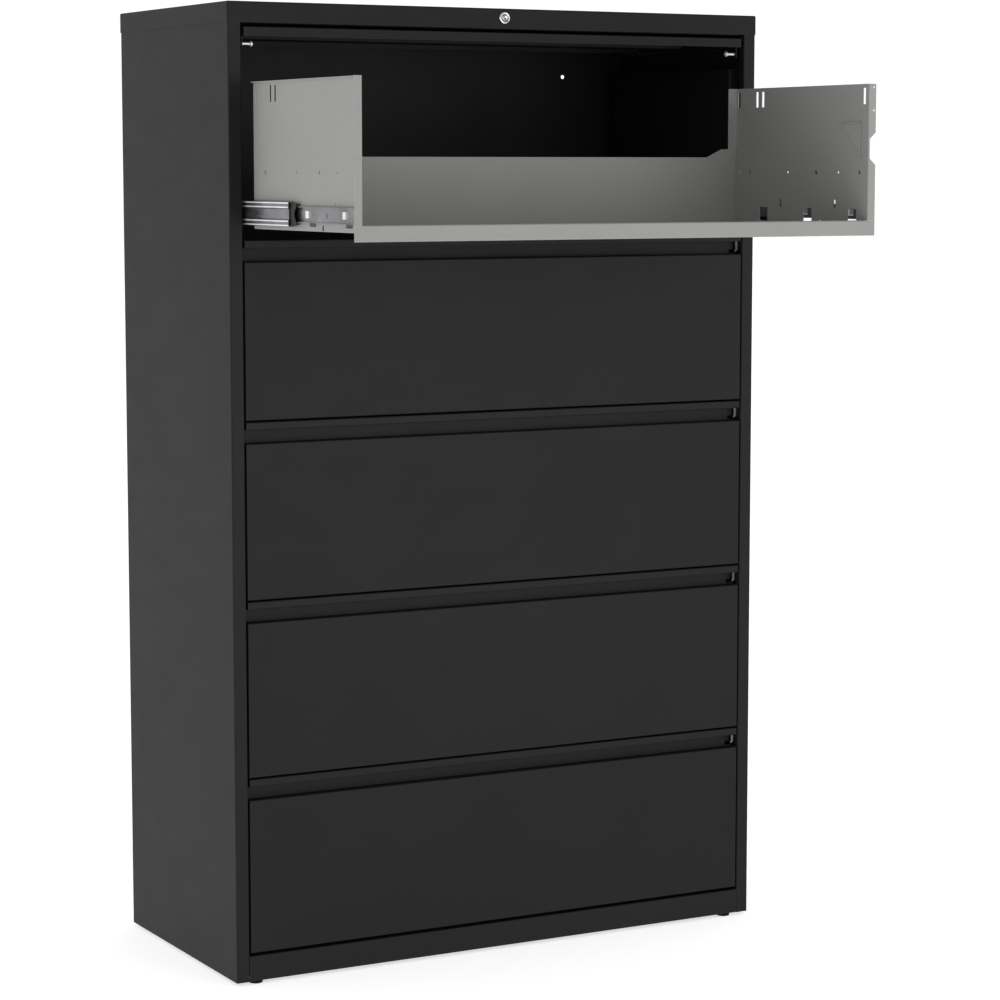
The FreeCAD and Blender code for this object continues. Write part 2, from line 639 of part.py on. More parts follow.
def door_pins():
    """Headed pins that steady the door's free edge."""
    pin = rod(Vector(DOOR_PIN_TIP_X, DOOR_PIN_Y, DOOR_PIN_Z), X_AXIS, DOOR_PIN_LENGTH, DOOR_PIN_R)
    head = rod(Vector(DOOR_PIN_TIP_X + 2, DOOR_PIN_Y, DOOR_PIN_Z), X_AXIS, 2, 4.8)
    return both_sides(pin.fuse(head))


def door_carriage():
    """Bar that keeps both sides of the door level, with the arms and hinge pins."""
    bar = rod(Vector(-BAR_HALF, BAR_Y, PIVOT_Z), X_AXIS, 2 * BAR_HALF, 6.0)
    pieces = []
    for sign in (-1, 1):
        low, high = sorted((sign * ARM_X, sign * (ARM_X + 3)))
        pieces.append(block(low, high, PIVOT_Y - 3.5, BAR_Y, PIVOT_Z - 3.5, PIVOT_Z + 3.5))
        pieces.append(rod(Vector(sign * ARM_X, PIVOT_Y, PIVOT_Z), X_AXIS * sign, 9, HINGE_PIN_R))
        pieces.append(rod(Vector(sign * BAR_HALF, BAR_Y, PIVOT_Z), X_AXIS * sign, 16, 3.0))
    return bar.fuse(pieces)


def door_rollers():
    """Nylon rollers on the ends of the bar."""
    roller = rod(Vector(ROLLER_X, BAR_Y, PIVOT_Z), X_AXIS, 9, ROLLER_R)
    roller = roller.cut(rod(Vector(ROLLER_X - 5, BAR_Y, PIVOT_Z), X_AXIS, 20, 3.1))
    return both_sides(roller)


def door_guide_rails():
    """Channels on the case sides in which the rollers run."""
    reach = ROLLER_R + 0.4 + SHEET / 2
    web = SIDE_INNER_X - SHEET / 2 - 0.05
    tip = ROLLER_X - 2.5
    path = [(tip, PIVOT_Z - reach), (web, PIVOT_Z - reach), (web, PIVOT_Z + reach), (tip, PIVOT_Z + reach)]
    return both_sides(folded_sheet(path, "xz", GUIDE_FRONT_Y, GUIDE_BACK_Y))


# ---- Lock ------------------------------------------------------------------------------------
def lock_barrel():
    """Round housing with a rim in front of the cap."""
    rim = rod(Vector(0, -3.6, LOCK_Z), Y_AXIS, 3.6 - CAP_PROUD, LOCK_RIM_R)
    rim = rim.makeFillet(0.8, [edge for edge in rim.Edges if edge.BoundBox.YMax < -3.5])
    body = rod(Vector(0, -CAP_PROUD - 0.2, LOCK_Z), Y_AXIS, 24, BARREL_R)
    return rim.fuse(body).cut(rod(Vector(0, -10, LOCK_Z), Y_AXIS, 40, PLUG_R + PLUG_CLEARANCE))


def lock_plug():
    """Turning plug with its keyway."""
    plug = rod(Vector(0, -4.4, LOCK_Z), Y_AXIS, 29.4, PLUG_R)
    return plug.cut(block(-0.8, 0.8, -5, 3, LOCK_Z - 4.2, LOCK_Z + 4.2))


def lock_cam():
    """Cam on the back of the plug, its drive pin hanging down at rest."""
    hub = rod(Vector(0, 25, LOCK_Z), Y_AXIS, 2.5, 7.5)
    arm = block(-4, 4, 25, 27.5, LOCK_Z - CAM_REACH, LOCK_Z)
    tip = rod(Vector(0, 25, LOCK_Z - CAM_REACH), Y_AXIS, 2.5, 4.0)
    pin = rod(Vector(0, 25, LOCK_Z - CAM_REACH), Y_AXIS, 8, 2.0)
    return hub.fuse([arm, tip, pin]).removeSplitter()


def lock_crossbar():
    """Flat bar that the cam lifts, slotted for its drive pin."""
    pin_z = LOCK_Z - CAM_REACH
    bar = block(-24, LOCK_BAR_X + 4, CROSSBAR_Y, CROSSBAR_Y + 1.5, pin_z - 7.5, pin_z + 5)
    return bar.cut(block(-15, 15, CROSSBAR_Y - 1, CROSSBAR_Y + 3, pin_z - 5.2, pin_z + 2.6))


def lock_bar():
    """Upright bar inside the right stile; a hooked tab hangs from it level with each pull."""
    top = LOCK_Z - CAM_REACH + 5
    x0, x1 = LOCK_BAR_X, LOCK_BAR_X + 4
    y0, y1 = LOCK_BAR_FRONT_Y, LOCK_BAR_FRONT_Y + LOCK_BAR_WIDTH
    hook_back = HOOK_Y + HOOK_THICKNESS
    pieces = [block(x0, x1, y0, CROSSBAR_Y - 0.1, top - 14, top)]
    for level in range(DRAWER_COUNT):
        z = drawer_base(level) + FRONT_HEIGHT
        pieces.append(block(HOOK_X, x0 + 1, HOOK_Y, hook_back, z + 25, z + 31))
        outline = [(HOOK_X, z + 31), (HOOK_X + 4, z + 31), (HOOK_X + 4, z + 7), (HOOK_X - 0.4, z + 3.5),
                   (HOOK_X - 2.2, z + 5.5), (HOOK_X, z + 8)]
        pieces.append(prism(outline, "xz", HOOK_Y, hook_back))
    bar = block(x0, x1, y0, y1, PLINTH_HEIGHT + 16.5, top)
    return bar.fuse(pieces).removeSplitter()


# ---- Write every node ------------------------------------------------------------------------
def make_case():
    """The fixed case."""
    side = side_panel()
    liner = inner_liner()
    save("side_panel_right", side)
    save("side_panel_left", mirrored(side))
    save("back_panel", back_panel())
    save("top_cap", top_cap())
    save("header_channel", header_channel())
    save("base_plinth", base_plinth())
    save("base_pan", base_pan())
    save("levelling_glides", levelling_glides())
    save("inner_liner_right", liner)
    save("inner_liner_left", mirrored(liner))
    save("cross_rails", cross_rails())
    save("case_screws", case_screws())
    slide_heights = [drawer_base(level) + SLIDE_ABOVE_BOTTOM for level in range(DRAWER_COUNT)]
    rails = []
    for z in slide_heights + [SHELF_SLIDE_Z]:
        rails.extend(both_sides(fixed_rail(z)))
    save("slide_rails", rails)
    save("door_guide_rails", door_guide_rails())
    save("lock_barrel", lock_barrel())


def make_door():
    """The receding door, its carriage and rollers."""
    save("door_panel", door_panel())
    save("door_stiffener", door_stiffener())
    save("door_brackets", door_brackets())
    save("door_pins", door_pins())
    save("door_carriage", door_carriage())
    save("door_rollers", door_rollers())


def make_lock():
    """The moving pieces of the lock."""
    save("lock_plug", lock_plug())
    save("lock_cam", lock_cam())
    save("lock_crossbar", lock_crossbar())
    save("lock_bar", lock_bar())


os.makedirs("parts", exist_ok=True)
make_case()
for drawer_number in range(1, DRAWER_COUNT + 1):
    make_drawer(drawer_number, DRAWER_COUNT - drawer_number)
make_shelf()
make_door()
make_lock()
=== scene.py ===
"""Looks of the lateral filing cabinet: materials, fine detail, stage, light and camera."""
import json
import math

import bmesh
import bpy
from mathutils import Matrix, Vector


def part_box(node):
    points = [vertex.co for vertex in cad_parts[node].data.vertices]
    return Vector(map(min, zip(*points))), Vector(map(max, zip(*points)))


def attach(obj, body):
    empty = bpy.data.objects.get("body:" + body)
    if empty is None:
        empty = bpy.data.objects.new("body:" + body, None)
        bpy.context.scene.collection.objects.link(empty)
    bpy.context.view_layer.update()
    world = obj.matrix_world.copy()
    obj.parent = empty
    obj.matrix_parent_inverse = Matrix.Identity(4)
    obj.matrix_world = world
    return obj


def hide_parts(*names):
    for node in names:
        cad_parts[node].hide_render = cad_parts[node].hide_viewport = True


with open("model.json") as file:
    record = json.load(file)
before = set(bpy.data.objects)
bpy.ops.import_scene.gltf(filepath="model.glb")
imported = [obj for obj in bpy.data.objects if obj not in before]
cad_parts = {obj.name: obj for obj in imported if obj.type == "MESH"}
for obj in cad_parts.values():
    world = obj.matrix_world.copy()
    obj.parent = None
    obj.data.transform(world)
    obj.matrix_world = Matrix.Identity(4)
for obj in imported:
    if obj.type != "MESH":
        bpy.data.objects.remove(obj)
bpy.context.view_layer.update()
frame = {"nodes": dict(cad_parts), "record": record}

MM = 0.001
SIDES = (-1, 1)
SLIDE_WINDOWS = (40 * MM, 180 * MM)     # window fronts, from the inner members' front ends

# Places in the shelf's sides count from the case's front plane, and from the top of the sides.
SHELF_SHEET = 1.2 * MM
SHELF_FLANGE = 14.7 * MM                # from the flange's outer edge to the sheet's inner face
TRAY_TO_CASE_FRONT = 8.0 * MM           # how far the tray's back is in front of that plane
RIVETS_Y = (-55.0 * MM, -268.0 * MM, -400.0 * MM)
RIVETS_DROP = 153 * MM
GUSSET_RISE = 1.6 * MM
GUSSET_CORNERS = ((-346.0 * MM, -67.0 * MM), (-402.0 * MM, -67.0 * MM), (-402.0 * MM, -125.0 * MM))

SCREW_STEPS = (0.0, 400.0 * MM, 800.0 * MM, 1200.0 * MM, 1540.0 * MM)
SCREW_RADIUS = 4.5 * MM
RECESS_BLADE = 0.22                     # width of the dark blades that paint the shade of a cross recess, as a share of its length

LOCK_PLUG_RADIUS = 6.1 * MM
LOCK_BORE_RADIUS = 6.3 * MM
LOCK_BODY_RADIUS = 9.0 * MM

# ---- Camera, fitted to the cabinet's corners --------------------------------------------------
CAMERA_PLACE = (-2.5543, -4.6786, 1.4283)
CAMERA_YAW = -28.722
CAMERA_PITCH = -6.429
CAMERA_LENS = 106.28
SENSOR_WIDTH = 36.0


# ---- Materials --------------------------------------------------------------------------------
def new_material(name):
    """Empty principled material; returns it with its node tree and shader."""
    material = bpy.data.materials.new(name)
    material.use_nodes = True
    tree = material.node_tree
    return material, tree, tree.nodes["Principled BSDF"]


def noise(tree, scale, detail=2.0, roughness=0.5, stretch=None):
    """Noise in object space, stretched along an axis where asked."""
    coords = tree.nodes.new("ShaderNodeTexCoord")
    node = tree.nodes.new("ShaderNodeTexNoise")
    node.inputs["Scale"].default_value = scale
    node.inputs["Detail"].default_value = detail
    node.inputs["Roughness"].default_value = roughness
    if stretch is None:
        tree.links.new(coords.outputs["Object"], node.inputs["Vector"])
    else:
        mapping = tree.nodes.new("ShaderNodeMapping")
        mapping.inputs["Scale"].default_value = stretch
        tree.links.new(coords.outputs["Object"], mapping.inputs["Vector"])
        tree.links.new(mapping.outputs["Vector"], node.inputs["Vector"])
    return node.outputs["Fac"]


def spread(tree, factor, low, high, from_low=0.3, from_high=0.7):
    """Maps a factor to a range of numbers."""
    node = tree.nodes.new("ShaderNodeMapRange")
    node.inputs["From Min"].default_value = from_low
    node.inputs["From Max"].default_value = from_high
    node.inputs["To Min"].default_value = low
    node.inputs["To Max"].default_value = high
    tree.links.new(factor, node.inputs["Value"])
    return node.outputs["Result"]


def tint(tree, factor, dark, light):
    """Mixes two colours by a factor."""
    node = tree.nodes.new("ShaderNodeMix")
    node.data_type = "RGBA"
    node.inputs["A"].default_value = (*dark, 1.0)
    node.inputs["B"].default_value = (*light, 1.0)
    tree.links.new(factor, node.inputs["Factor"])
    return node.outputs["Result"]


def add_bump(tree, shader, layers):
    """Chains bumps of (height, strength, distance) and feeds the shader's normal."""
    normal = None
    for height, strength, distance in layers:
        bump = tree.nodes.new("ShaderNodeBump")
        bump.inputs["Strength"].default_value = strength
        bump.inputs["Distance"].default_value = distance
        tree.links.new(height, bump.inputs["Height"])
        if normal is not None:
            tree.links.new(normal, bump.inputs["Normal"])
        normal = bump.outputs["Normal"]
    tree.links.new(normal, shader.inputs["Normal"])


def edge_mask(tree, radius=0.0016):
    """One along edges and bends, nought on flats, broken up by noise so that the wear is uneven."""
    bevel = tree.nodes.new("ShaderNodeBevel")
    bevel.samples = 4
    bevel.inputs["Radius"].default_value = radius
    geometry = tree.nodes.new("ShaderNodeNewGeometry")
    dot = tree.nodes.new("ShaderNodeVectorMath")
    dot.operation = "DOT_PRODUCT"
    tree.links.new(bevel.outputs["Normal"], dot.inputs[0])
    tree.links.new(geometry.outputs["Normal"], dot.inputs[1])
    on_edge = spread(tree, dot.outputs["Value"], 1.0, 0.0, 0.75, 0.99)
    broken = spread(tree, noise(tree, 35.0, 4.0), 0.15, 1.0)
    product = tree.nodes.new("ShaderNodeMath")
    product.operation = "MULTIPLY"
    tree.links.new(on_edge, product.inputs[0])
    tree.links.new(broken, product.inputs[1])
    return product.outputs["Value"]


def powder_coat(name, dark, light, worn, rough, grain=1400.0, grain_depth=0.00003):
    """Baked powder paint: fine orange peel, faint mottling and rubbed edges."""
    material, tree, shader = new_material(name)
    mottled = tint(tree, spread(tree, noise(tree, 5.0, 3.0), 0.0, 1.0), dark, light)
    node = tree.nodes.new("ShaderNodeMix")
    node.data_type = "RGBA"
    node.inputs["B"].default_value = (*worn, 1.0)
    tree.links.new(mottled, node.inputs["A"])
    tree.links.new(edge_mask(tree), node.inputs["Factor"])
    tree.links.new(node.outputs["Result"], shader.inputs["Base Color"])
    smears = noise(tree, 9.0, 5.0, 0.65, (1.0, 1.0, 2.4))
    tree.links.new(spread(tree, smears, rough - 0.02, rough + 0.02), shader.inputs["Roughness"])
    peel = noise(tree, grain, 2.0, 0.6)
    waves = noise(tree, 60.0, 1.0)
    add_bump(tree, shader, [(waves, 0.10, 0.0004), (peel, 0.35, grain_depth)])
    shader.inputs["Specular IOR Level"].default_value = 0.12
    return material


def plated(name, dark, light, rough, stretch, metallic=1.0):
    """Plated or drawn metal with fine streaks along its length."""
    material, tree, shader = new_material(name)
    streaks = noise(tree, 420.0, 3.0, 0.6, stretch)
    tree.links.new(tint(tree, spread(tree, noise(tree, 22.0, 4.0), 0.0, 1.0), dark, light),
                   shader.inputs["Base Color"])
    tree.links.new(spread(tree, streaks, rough - 0.07, rough + 0.10), shader.inputs["Roughness"])
    shader.inputs["Metallic"].default_value = metallic
    add_bump(tree, shader, [(streaks, 0.12, 0.00003)])
    return material


def moulded(name, dark, light, rough):
    """Moulded plastic with a slight spark-eroded grain."""
    material, tree, shader = new_material(name)
    tree.links.new(tint(tree, spread(tree, noise(tree, 30.0), 0.0, 1.0), dark, light),
                   shader.inputs["Base Color"])
    tree.links.new(spread(tree, noise(tree, 45.0), rough - 0.05, rough + 0.05),
                   shader.inputs["Roughness"])
    add_bump(tree, shader, [(noise(tree, 1900.0), 0.25, 0.00003)])
    shader.inputs["Specular IOR Level"].default_value = 0.2
    return material


def make_materials():
    """Every material, by the record's slot name."""
    return {
        "charcoal_paint": powder_coat("charcoal_powder_coat", (0.0092, 0.0092, 0.0094),
                                      (0.0104, 0.0104, 0.0106), (0.032, 0.032, 0.033), 0.50),
        "grey_paint": powder_coat("light_grey_paint", (0.252, 0.252, 0.243),
                                  (0.266, 0.266, 0.256), (0.38, 0.38, 0.37), 0.46,
                                  1700.0, 0.00002),
        "zinc": plated("dull_zinc", (0.15, 0.15, 0.155), (0.24, 0.24, 0.25), 0.30,
                       (0.6, 0.05, 0.6), 0.9),
        # Bright zinc is a lighter, half-metallic copy of the zinc, so that small zinc parts in
        # shade still show bright: painted highlight.
        "bright_zinc": plated("bright_zinc", (0.66, 0.67, 0.69), (0.82, 0.83, 0.85), 0.34,
                              (0.6, 0.6, 0.3), 0.45),
        "chrome": plated("polished_chrome", (0.42, 0.42, 0.43), (0.55, 0.55, 0.56), 0.14,
                         (0.5, 0.5, 0.5)),
        "black_plastic": moulded("black_moulding", (0.0035, 0.0035, 0.0035),
                                 (0.0070, 0.0070, 0.0072), 0.5),
        "nylon": moulded("white_nylon", (0.66, 0.65, 0.60), (0.76, 0.75, 0.70), 0.45),
    }


def paint_nodes(materials):
    """Gives every CAD node the material of its slot, and even shading across its bends."""
    for part in frame["record"]["subparts"]:
        node = frame["nodes"][part["node"]]
        node.data.materials.clear()
        node.data.materials.append(materials[part["material_slot"]])
        even_shading(node)


def even_shading(piece):
    """Flat faces stay flat and bends stay round, whatever triangles they are made of."""
    for polygon in piece.data.polygons:
        polygon.use_smooth = True
    weld = piece.modifiers.new("weld", "WELD")
    weld.merge_threshold = 0.000002
    split = piece.modifiers.new("sharp_edges", "EDGE_SPLIT")
    split.split_angle = math.radians(40)
    normals = piece.modifiers.new("even_normals", "WEIGHTED_NORMAL")
    normals.weight = 100


# ---- Mesh helpers -----------------------------------------------------------------------------
def make_piece(name, build, body, slot, materials, bevel=0.0):
    """One detail piece from a bmesh-building function, on its body, with its slot's material."""
    mesh = bpy.data.meshes.new(name)
    bm = bmesh.new()
    build(bm)
    bmesh.ops.recalc_face_normals(bm, faces=bm.faces)
    bm.to_mesh(mesh)
    bm.free()
    piece = bpy.data.objects.new(name, mesh)
    bpy.context.scene.collection.objects.link(piece)
    mesh.materials.append(materials[slot])
    if bevel:
        modifier = piece.modifiers.new("soft_edges", "BEVEL")
        modifier.width = bevel
        modifier.segments = 3
        modifier.limit_method = "ANGLE"
        modifier.angle_limit = math.radians(35)
    even_shading(piece)
    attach(piece, body)
    return piece


def add_block(bm, low, high):
    """Box between two corners."""
    low = Vector(low)
    high = Vector(high)
    matrix = Matrix.Translation((low + high) / 2) @ Matrix.Diagonal((*(high - low), 1.0))
    bmesh.ops.create_cube(bm, size=1.0, matrix=matrix)


def turned_place(centre, direction):
    """Matrix that carries the z axis to a direction and the origin to a centre."""
    spin = Vector((0, 0, 1)).rotation_difference(Vector(direction).normalized())
    return Matrix.Translation(centre) @ spin.to_matrix().to_4x4()


def add_turned(bm, centre, direction, profile, segments=40):
    """Turned solid: profile of (radius, distance along the direction), closed at both ends."""
    place = turned_place(centre, direction)
    rings = []
    for radius, along in profile:
        ring = []
        for index in range(segments):
            angle = 2 * math.pi * index / segments
            point = place @ Vector((radius * math.cos(angle), radius * math.sin(angle), along))
            ring.append(bm.verts.new(point))
        rings.append(ring)
    for lower, upper in zip(rings, rings[1:]):
        for index in range(segments):
            after = (index + 1) % segments
            bm.faces.new((lower[index], lower[after], upper[after], upper[index]))
    bm.faces.new(list(reversed(rings[0])))
    bm.faces.new(rings[-1])


def add_ring(bm, centre, profile, segments=56):
    """Closed ring turned about the lock's axis, which runs along y."""
    rings = []
    for radius, along in profile:
        ring = []
        for index in range(segments):
            angle = 2 * math.pi * index / segments
            ring.append(bm.verts.new(centre + Vector((radius * math.cos(angle), along,
                                                      radius * math.sin(angle)))))
        rings.append(ring)
    for lower, upper in zip(rings, rings[1:] + rings[:1]):
        for index in range(segments):
            after = (index + 1) % segments
            bm.faces.new((lower[index], lower[after], upper[after], upper[index]))


def add_prism(bm, near_points, far_points):
    """Closed prism between two matching outlines."""
    near = [bm.verts.new(point) for point in near_points]
    far = [bm.verts.new(point) for point in far_points]
    bm.faces.new(near)
    bm.faces.new(list(reversed(far)))
    for index in range(len(near)):
        after = (index + 1) % len(near)
        bm.faces.new((near[index], near[after], far[after], far[index]))


def add_plate(bm, outline, low, high):
    """Plate lying in the y-z plane, from its outline, between two x values."""
    add_prism(bm, [(low, y, z) for y, z in outline], [(high, y, z) for y, z in outline])


def add_bar(bm, start, end, x, width, height):
    """Low ridge on a side panel's inner face, between two points of the y-z plane."""
    along = (end - start).normalized() * (width / 2)
    across = Vector((0, -along.z, along.y))
    outline = [start - along - across, end + along - across, end + along + across,
               start - along + across]
    add_plate(bm, [(point.y, point.z) for point in outline], *sorted((x, x - height)))


def add_strip(bm, outline, start, end):
    """Strip running along y, from its outline in the x-z plane."""
    add_prism(bm, [(x, start, z) for x, z in outline], [(x, end, z) for x, z in outline])


def half_round_head(radius, height):
    """Turned profile of a domed rivet or screw head, from its seat outwards."""
    steps = 7
    profile = [(radius, 0.0), (radius, height * 0.15)]
    for step in range(1, steps):
        angle = math.pi / 2 * step / steps
        profile.append((radius * math.cos(angle), height * (0.15 + 0.85 * math.sin(angle))))
    profile.append((radius * 0.02, height))
    return profile


def add_recess_shade(bm, centre, direction, size, depth):
    """Cross-shaped driver recess drawn as two thin dark blades lying on a screw's head, painted
    shade of the recess.
    """
    place = turned_place(centre, direction)
    for turn in (0.0, math.pi / 2):
        matrix = (place @ Matrix.Rotation(turn, 4, "Z")
                  @ Matrix.Diagonal((size, size * RECESS_BLADE, depth, 1.0)))
        bmesh.ops.create_cube(bm, size=1.0, matrix=matrix)


# ---- Detail pieces ----------------------------------------------------------------------------
def node_box(name):
    """Low and high corner of a CAD node."""
    low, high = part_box(name)
    return Vector(low), Vector(high)


def case_front_y():
    """The y of the case's front plane."""
    return node_box("shelf_tray")[1].y + TRAY_TO_CASE_FRONT


def make_ball_cages(materials):
    """Moulded cages with a waisted web and a row of steel balls in each raceway."""
    low, high = node_box("shelf_ball_retainers")
    middle = (low.z + high.z) / 2
    half = (high.z - low.z) / 2
    outer = high.x
    thickness = 1.6 * MM
    waist = 9.0 * MM
    arc = 10
    front = []
    for step in range(arc + 1):
        share = step / arc
        z = middle - half * 0.72 + share * half * 1.44
        front.append((low.y + waist * math.sin(math.pi * share), z))
    outline = [(low.y, middle - half)] + front + [(low.y, middle + half)]
    outline += [(high.y, middle + half)] + [(low.y + high.y - y, z) for y, z in reversed(front)]
    outline += [(high.y, middle - half)]
    ball = 1.9 * MM
    pitch = 7.2 * MM
    count = int((high.y - low.y - 2 * ball) / pitch)

    def cages(bm):
        for side in SIDES:
            edge = sorted((side * outer, side * (outer - thickness)))
            add_plate(bm, outline, *edge)
            for end in SIDES:
                z = middle + end * (half - 2.4 * MM)
                x = sorted((side * (outer - thickness), side * (outer - 5.6 * MM)))
                add_block(bm, (x[0], low.y, z - 1.1 * MM), (x[1], high.y, z + 1.1 * MM))

    def balls(bm):
        for side in SIDES:
            for end in SIDES:
                for index in range(count + 1):
                    y = low.y + ball + 0.4 * MM + index * pitch
                    place = Matrix.Translation((side * (outer - 3.2 * MM), y,
                                                middle + end * (half - 2.4 * MM)))
                    bmesh.ops.create_uvsphere(bm, u_segments=16, v_segments=10, radius=ball,
                                              matrix=place)

    cage = make_piece("ball_cages", cages, "shelf_retainers", "black_plastic", materials, 0.2 * MM)
    make_piece("steel_balls", balls, "shelf_retainers", "bright_zinc", materials)
    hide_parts("shelf_ball_retainers")


def make_slide_tabs(materials):
    """Bayonet tabs of the shelf's sides, seen in the windows of the inner slide members."""
    low, high = node_box("shelf_slide_inners")
    face = high.x
    middle = (low.z + high.z) / 2

    def tabs(bm, start, end):
        for side in SIDES:
            x = sorted((side * (face - 6.4 * MM), side * (face - 4.6 * MM)))
            for window in SLIDE_WINDOWS:
                y = low.y + window
                add_block(bm, (x[0], y + start, middle - 6.2 * MM),
                          (x[1], y + end, middle + 6.2 * MM))

    make_piece("bayonet_tabs", lambda bm: tabs(bm, 12.0 * MM, 23.6 * MM), "shelf", "bright_zinc",
               materials, 0.5 * MM)
    make_piece("bayonet_stops", lambda bm: tabs(bm, 0.4 * MM, 11.4 * MM), "shelf", "grey_paint",
               materials, 0.5 * MM)


def make_raceways(materials):
    """Rolled raceway ridges along the middle members of the shelf's slides."""
    low, high = node_box("shelf_slide_mids")
    middle = (low.z + high.z) / 2
    half = (high.z - low.z) / 2
    steps = 6

    def ridges(bm):
        for side in SIDES:
            for end in SIDES:
                for inset in (1.9 * MM, 9.0 * MM):
                    centre = middle + end * (half - inset)
                    outline = [(side * (high.x - 0.3 * MM), centre - 1.3 * MM)]
                    for step in range(steps + 1):
                        angle = math.pi * step / steps
                        outline.append((side * (high.x + 0.55 * MM * math.sin(angle)),
                                        centre - 1.3 * MM * math.cos(angle)))
                    outline.append((side * (high.x - 0.3 * MM), centre + 1.3 * MM))
                    add_strip(bm, outline, low.y, high.y)

    make_piece("raceway_ridges", ridges, "shelf_slides", "bright_zinc", materials)


def make_side_rivets(materials):
    """Domed rivets through the shelf's sides and their spun heads outside."""
    high = node_box("shelf_side_right")[1]
    inner = high.x - SHELF_FLANGE
    origin = case_front_y()
    height = high.z - RIVETS_DROP

    def rivets(bm):
        for side in SIDES:
            for y in RIVETS_Y:
                centre = Vector((side * inner, origin + y, height))
                add_turned(bm, centre, (-side, 0, 0), half_round_head(3.3 * MM, 1.3 * MM), 24)
                outside = Vector((side * (inner + SHELF_SHEET), origin + y, height))
                add_turned(bm, outside, (side, 0, 0), half_round_head(2.8 * MM, 1.0 * MM), 24)

    make_piece("shelf_rivets", rivets, "shelf", "zinc", materials)


def make_gusset_bead(materials):
    """Raised bead round the triangular pressing of each shelf side."""
    high = node_box("shelf_side_right")[1]
    face = high.x - SHELF_FLANGE - GUSSET_RISE
    origin = case_front_y()
    points = [Vector((0, origin + y, high.z + z)) for y, z in GUSSET_CORNERS]

    def bead(bm):
        for side in SIDES:
            for start, end in zip(points, points[1:] + points[:1]):
                add_bar(bm, start, end, side * face, 2.4 * MM, side * 1.2 * MM)

    make_piece("gusset_beads", bead, "shelf", "grey_paint", materials, 0.5 * MM)


def make_back_screws(materials):
    """Pan-head screws along both edges of the back, each cross recess drawn as black blades,
    painted shade.
    """
    low, high = node_box("case_screws")
    seat = low.y
    head = (high.y - low.y) * 0.96
    radius = SCREW_RADIUS
    rows = [low.z + radius + step for step in SCREW_STEPS]

    def heads(bm):
        for side in SIDES:
            for z in rows:
                centre = Vector((side * (high.x - radius), seat, z))
                add_turned(bm, centre, (0, 1, 0), half_round_head(radius, head), 32)

    def recess_shades(bm):
        for side in SIDES:
            for z in rows:
                centre = Vector((side * (high.x - radius), seat + head * 0.93, z))
                add_recess_shade(bm, centre, (0, 1, 0), 4.2 * MM, 0.14 * MM)

    screws = make_piece("back_screws", heads, "cabinet", "zinc", materials)
    # Black blades on the screw heads: painted shade of the cross recesses.
    make_piece("back_screw_recess_shade", recess_shades, "cabinet", "black_plastic", materials)
    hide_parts("case_screws")


def make_lock_face(materials):
    """Turned lock: a rolled rim with a groove, a dished plug, and its keyway as a black block,
    painted shade of the slot.
    """
    low, high = node_box("lock_barrel")
    axis_z = (low.z + high.z) / 2
    front = low.y
    rim = (high.x - low.x) / 2
    plug_low, plug_high = node_box("lock_plug")
    plug = LOCK_PLUG_RADIUS
    bore = LOCK_BORE_RADIUS
    body = LOCK_BODY_RADIUS

    def ring(bm):
        profile = [(bore, 3.4 * MM), (bore, 1.2 * MM), (7.0 * MM, 0.7 * MM),
                   (7.6 * MM, 0.9 * MM), (8.1 * MM, 0.15 * MM), (8.9 * MM, 0.0),
                   (9.8 * MM, 0.25 * MM), (10.5 * MM, 0.9 * MM), (rim, 1.7 * MM),
                   (rim, 2.35 * MM), (body, 2.4 * MM), (body, high.y - front),
                   (bore, high.y - front)]
        add_ring(bm, Vector((0, front, axis_z)), profile)

    def barrel(bm):
        face = [(plug, plug_high.y - plug_low.y), (plug, 0.9 * MM), (5.6 * MM, 0.2 * MM),
                (4.9 * MM, 0.0), (4.3 * MM, 0.35 * MM), (3.4 * MM, 0.75 * MM),
                (0.05 * MM, 0.95 * MM)]
        add_turned(bm, Vector((0, plug_low.y, axis_z)), (0, 1, 0), face, 48)

    # The keyway is a black block in the plug's dished face, painted shade of the slot.
    def keyway(bm):
        y0 = plug_low.y + 0.55 * MM
        y1 = y0 + 2 * MM
        add_block(bm, (-0.75 * MM, y0, axis_z - 3.6 * MM), (0.75 * MM, y1, axis_z + 3.2 * MM))
        add_block(bm, (0.3 * MM, y0, axis_z - 1.0 * MM), (1.7 * MM, y1, axis_z + 0.6 * MM))

    housing = make_piece("lock_rim", ring, "cabinet", "chrome", materials)
    cylinder = make_piece("lock_cylinder", barrel, "lock_plug", "chrome", materials)
    make_piece("lock_keyway_shade", keyway, "lock_plug", "black_plastic", materials, 0.1 * MM)
    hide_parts("lock_barrel")
    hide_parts("lock_plug")


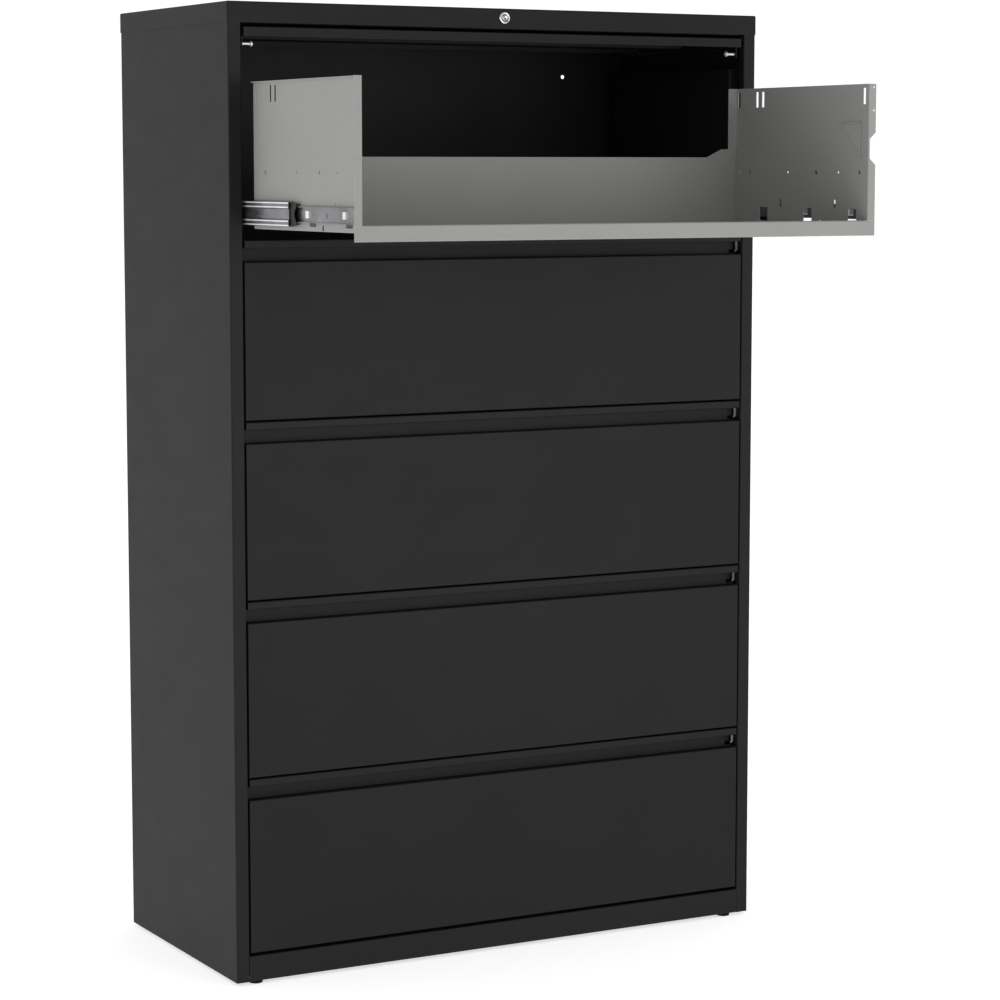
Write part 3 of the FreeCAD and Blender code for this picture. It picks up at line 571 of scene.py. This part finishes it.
def make_glide_feet(materials):
    """Turned levelling feet: a pad, a cone, a hexagonal nut and the stem."""
    low, high = node_box("levelling_glides")
    pad = 12.5 * MM
    places = [(x, y) for x in (low.x + pad, high.x - pad) for y in (low.y + pad, high.y - pad)]
    profile = [(11.6 * MM, 0.0), (12.2 * MM, 0.3 * MM), (pad, 1.0 * MM), (pad, 2.6 * MM),
               (12.2 * MM, 3.2 * MM), (11.0 * MM, 3.8 * MM), (9.2 * MM, 4.8 * MM),
               (7.7 * MM, 6.2 * MM), (7.4 * MM, 7.4 * MM)]

    def feet(bm):
        for x, y in places:
            add_turned(bm, Vector((x, y, low.z)), (0, 0, 1), profile, 48)

    def stems(bm):
        for x, y in places:
            add_turned(bm, Vector((x, y, low.z)), (0, 0, 1),
                       [(7.2 * MM, 7.5 * MM), (7.4 * MM, 7.8 * MM), (7.4 * MM, 13.9 * MM),
                        (6.9 * MM, 14.3 * MM)], 6)
            thread = [(3.1 * MM, 14.3 * MM)]
            for turn in range(13):
                rise = (14.6 + 1.2 * turn) * MM
                thread += [(3.9 * MM, rise), (3.2 * MM, rise + 0.6 * MM)]
            add_turned(bm, Vector((x, y, low.z)), (0, 0, 1), thread, 24)

    pads = make_piece("glide_pads", feet, "cabinet", "black_plastic", materials)
    make_piece("glide_stems", stems, "cabinet", "zinc", materials)
    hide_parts("levelling_glides")


# ---- Stage, light and camera ------------------------------------------------------------------
def make_floor():
    """Plain pale floor."""
    mesh = bpy.data.meshes.new("floor")
    size = 30.0
    mesh.from_pydata([(-size, -size, 0), (size, -size, 0), (size, size, 0), (-size, size, 0)],
                     [], [(0, 1, 2, 3)])
    floor = bpy.data.objects.new("floor", mesh)
    bpy.context.scene.collection.objects.link(floor)
    material, _, shader = new_material("pale_floor")
    shader.inputs["Base Color"].default_value = (0.93, 0.93, 0.93, 1.0)
    shader.inputs["Emission Color"].default_value = (1.0, 1.0, 1.0, 1.0)
    shader.inputs["Emission Strength"].default_value = 0.6
    shader.inputs["Roughness"].default_value = 0.9
    mesh.materials.append(material)


def make_world():
    """White surroundings that dim towards the ceiling."""
    world = bpy.data.worlds.new("white_studio")
    world.use_nodes = True
    tree = world.node_tree
    coords = tree.nodes.new("ShaderNodeTexCoord")
    axes = tree.nodes.new("ShaderNodeSeparateXYZ")
    tree.links.new(coords.outputs["Generated"], axes.inputs["Vector"])
    height = spread(tree, axes.outputs["Z"], 0.0, 1.0, 0.20, 0.80)
    sky = tint(tree, height, (1.05, 1.05, 1.05), (0.40, 0.40, 0.40))
    tree.links.new(sky, tree.nodes["Background"].inputs["Color"])
    bpy.context.scene.world = world


def softbox(name, place, target, size, power):
    """Square area light aimed at a point."""
    data = bpy.data.lights.new(name, "AREA")
    data.shape = "SQUARE"
    data.size = size
    data.energy = power
    light = bpy.data.objects.new(name, data)
    light.location = place
    light.rotation_euler = (Vector(target) - Vector(place)).to_track_quat("-Z", "Y").to_euler()
    bpy.context.scene.collection.objects.link(light)


def make_camera():
    """Camera at the photograph's viewing angle, turned to show the cabinet's left side."""
    data = bpy.data.cameras.new("camera")
    data.lens = CAMERA_LENS
    data.sensor_width = SENSOR_WIDTH
    camera = bpy.data.objects.new("camera", data)
    camera.location = CAMERA_PLACE
    camera.rotation_euler = (math.radians(90 + CAMERA_PITCH), 0, math.radians(CAMERA_YAW))
    bpy.context.scene.collection.objects.link(camera)
    bpy.context.scene.camera = camera


def make_stage():
    """Floor, surroundings, lights and camera."""
    make_floor()
    make_world()
    softbox("front_softbox", (1.6, -4.6, 0.8), (0.2, 0, 0.6), 2.2, 60)
    softbox("left_softbox", (-4.4, -0.9, 0.3), (-0.5, 0, 0.5), 1.8, 55)
    make_camera()
    bpy.context.scene.view_settings.view_transform = "Standard"


materials = make_materials()
make_stage()
paint_nodes(materials)
make_ball_cages(materials)
make_slide_tabs(materials)
make_raceways(materials)
make_side_rivets(materials)
make_gusset_bead(materials)
make_back_screws(materials)
make_lock_face(materials)
make_glide_feet(materials)
